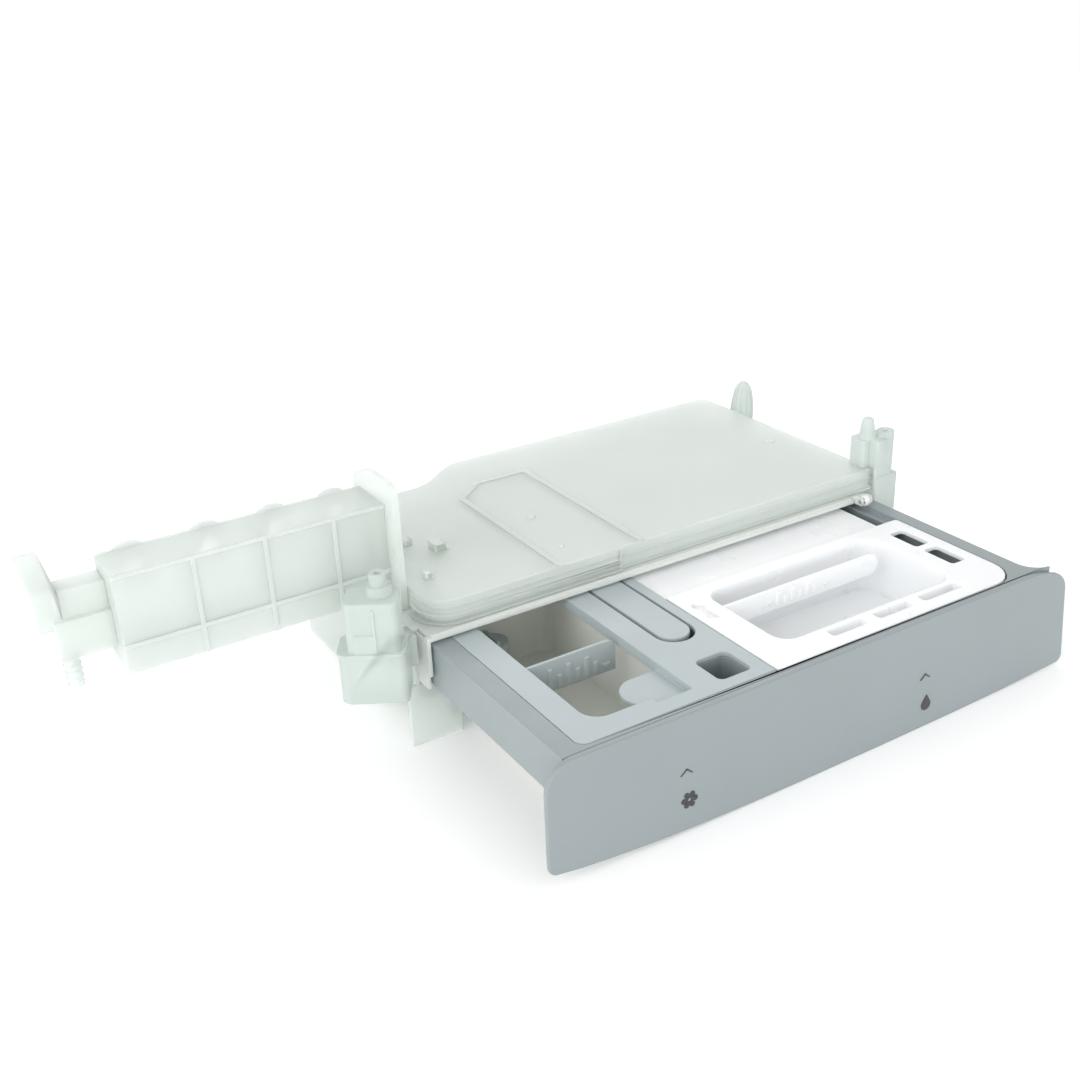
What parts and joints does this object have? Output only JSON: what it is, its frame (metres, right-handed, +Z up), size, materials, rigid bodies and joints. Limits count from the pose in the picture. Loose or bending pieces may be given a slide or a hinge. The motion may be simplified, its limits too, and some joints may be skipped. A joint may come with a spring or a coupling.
{
  "type": "washing machine detergent drawer",
  "caption": "Pull-out detergent and softener drawer in a translucent housing with a water manifold, from a front-loading washing machine.",
  "frame": {"origin": "the flat pad in the middle of the housing's underside, under the middle of the front panel", "axes": "+X to the right as seen from the machine's front, +Y into the machine (the drawer opens towards -Y), +Z up"},
  "size_m": [0.4477, 0.2936, 0.1247],
  "materials": {
    "natural_polypropylene": "translucent natural moulding, satin",
    "grey_abs": "fine satin texture",
    "light_grey_abs": "fine satin texture",
    "white_polypropylene": "semi-gloss",
    "white_acetal": "smooth",
    "steel": "plain",
    "rubber": "matt",
    "print": "printed ink"
  },
  "bodies": {
    "housing": {"housing_tub": "natural_polypropylene", "left_guide_rail": "natural_polypropylene", "right_guide_rail": "natural_polypropylene", "spray_plate": "natural_polypropylene", "water_channels": "natural_polypropylene", "top_cover": "natural_polypropylene", "cover_ribs": "natural_polypropylene", "drawer_stop_rib": "natural_polypropylene", "rear_bumpers": "rubber", "drain_outlet": "natural_polypropylene", "left_mount_tower": "natural_polypropylene", "right_mount_tower": "natural_polypropylene", "rear_locating_pin": "natural_polypropylene", "manifold_flange": "natural_polypropylene", "manifold_body": "natural_polypropylene", "manifold_dividers": "natural_polypropylene", "manifold_ribs": "natural_polypropylene", "manifold_back_cover": "natural_polypropylene", "inlet_grommets": "rubber", "overflow_duct": "natural_polypropylene", "overflow_spigot": "natural_polypropylene", "roller_bracket": "natural_polypropylene", "roller_axle": "steel", "hose_clips": "natural_polypropylene"},
    "drawer": {"drawer_tray": "grey_abs", "front_panel": "grey_abs", "panel_marks": "print", "panel_screws": "steel", "softener_bezel": "light_grey_abs", "softener_level_plate": "light_grey_abs", "softener_siphon_cap": "light_grey_abs", "tab_pivot_pin": "steel", "tab_spring": "steel", "detergent_liner": "white_polypropylene"},
    "tab": {"release_tab": "light_grey_abs"},
    "cup": {"liquid_cup": "white_polypropylene", "cup_print": "print", "cup_level_plate": "white_polypropylene"},
    "siphon_cap": {"cup_siphon_cap": "white_polypropylene"},
    "roller": {"hold_down_roller": "white_acetal"}
  },
  "joints": [
    {"name": "drawer_slide", "type": "slide", "parent": "housing", "child": "drawer", "axis": [0, -1, 0], "range_m": [-0.104, 0.013]},
    {"name": "tab_press", "type": "hinge", "parent": "drawer", "child": "tab", "pos_m": [-0.047, -0.057, 0.0551], "axis": [1, 0, 0], "range_deg": [0, 3], "stiffness_Nm_per_rad": 0.25, "deforming": ["tab_spring"]},
    {"name": "cup_lift", "type": "slide", "parent": "drawer", "child": "cup", "axis": [0, 0, 1], "range_m": [0, 0.05]},
    {"name": "siphon_cap_lift", "type": "slide", "parent": "cup", "child": "siphon_cap", "axis": [0, 0, 1], "range_m": [0, 0.03]},
    {"name": "roller_spin", "type": "hinge", "parent": "housing", "child": "roller", "pos_m": [0.1166, -0.0895, 0.0623], "axis": [1, 0, 0], "continuous": true}
  ]
}
